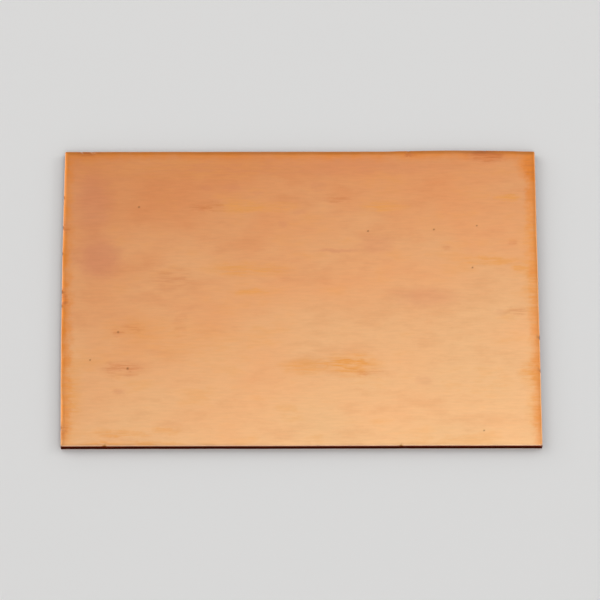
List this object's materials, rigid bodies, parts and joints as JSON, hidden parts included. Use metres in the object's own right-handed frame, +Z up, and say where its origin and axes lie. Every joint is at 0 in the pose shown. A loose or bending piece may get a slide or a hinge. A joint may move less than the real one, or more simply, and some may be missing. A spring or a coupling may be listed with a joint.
{
  "type": "copper plate",
  "caption": "Flat rectangular copper plate, sheared to size, with a rolled satin face, a rolled-over top rim and a dressed underside.",
  "frame": {"origin": "middle of the underside", "axes": "+X along the length, towards the straight right end; +Y towards the back edge, which has a low swell near the right end; +Z up through the thickness"},
  "size_m": [0.3, 0.2, 0.006],
  "materials": {
    "copper": "satin rolled copper, lightly tarnished along its edges"
  },
  "bodies": {
    "root": {"plate": "copper"}
  },
  "joints": []
}
